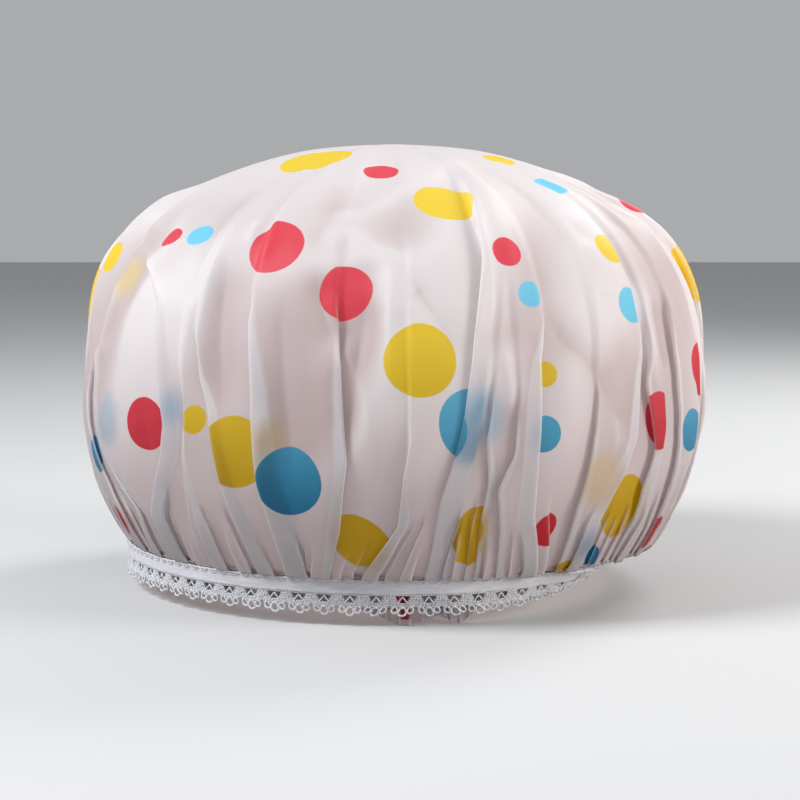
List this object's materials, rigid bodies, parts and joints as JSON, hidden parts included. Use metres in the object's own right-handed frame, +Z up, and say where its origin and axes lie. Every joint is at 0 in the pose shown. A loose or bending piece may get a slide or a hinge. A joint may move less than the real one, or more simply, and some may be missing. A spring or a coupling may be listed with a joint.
{
  "type": "shower cap",
  "caption": "Puffed shower cap of thin dotted film, gathered onto a round elastic band with a scalloped lace edging.",
  "frame": {"origin": "centre of the cap's footprint, on the surface that its hem stands on", "axes": "+Z up to the top of the crown, -Y to the front, +X to the side where the band turns in"},
  "size_m": [0.27, 0.27, 0.1863],
  "materials": {
    "film": "frosted, with coloured dots",
    "elastic_knit": "ribbed knit",
    "cut_rubber": "cut",
    "lace_yarn": "knitted yarn",
    "sewing_thread": "spun"
  },
  "bodies": {
    "root": {"crown_film": "film", "elastic_tape": "elastic_knit", "rubber_core_1": "cut_rubber", "rubber_core_2": "cut_rubber", "rubber_core_3": "cut_rubber", "lace_edging": "lace_yarn", "needle_thread": "sewing_thread", "bobbin_thread": "sewing_thread", "join_bartack": "sewing_thread"}
  },
  "joints": []
}
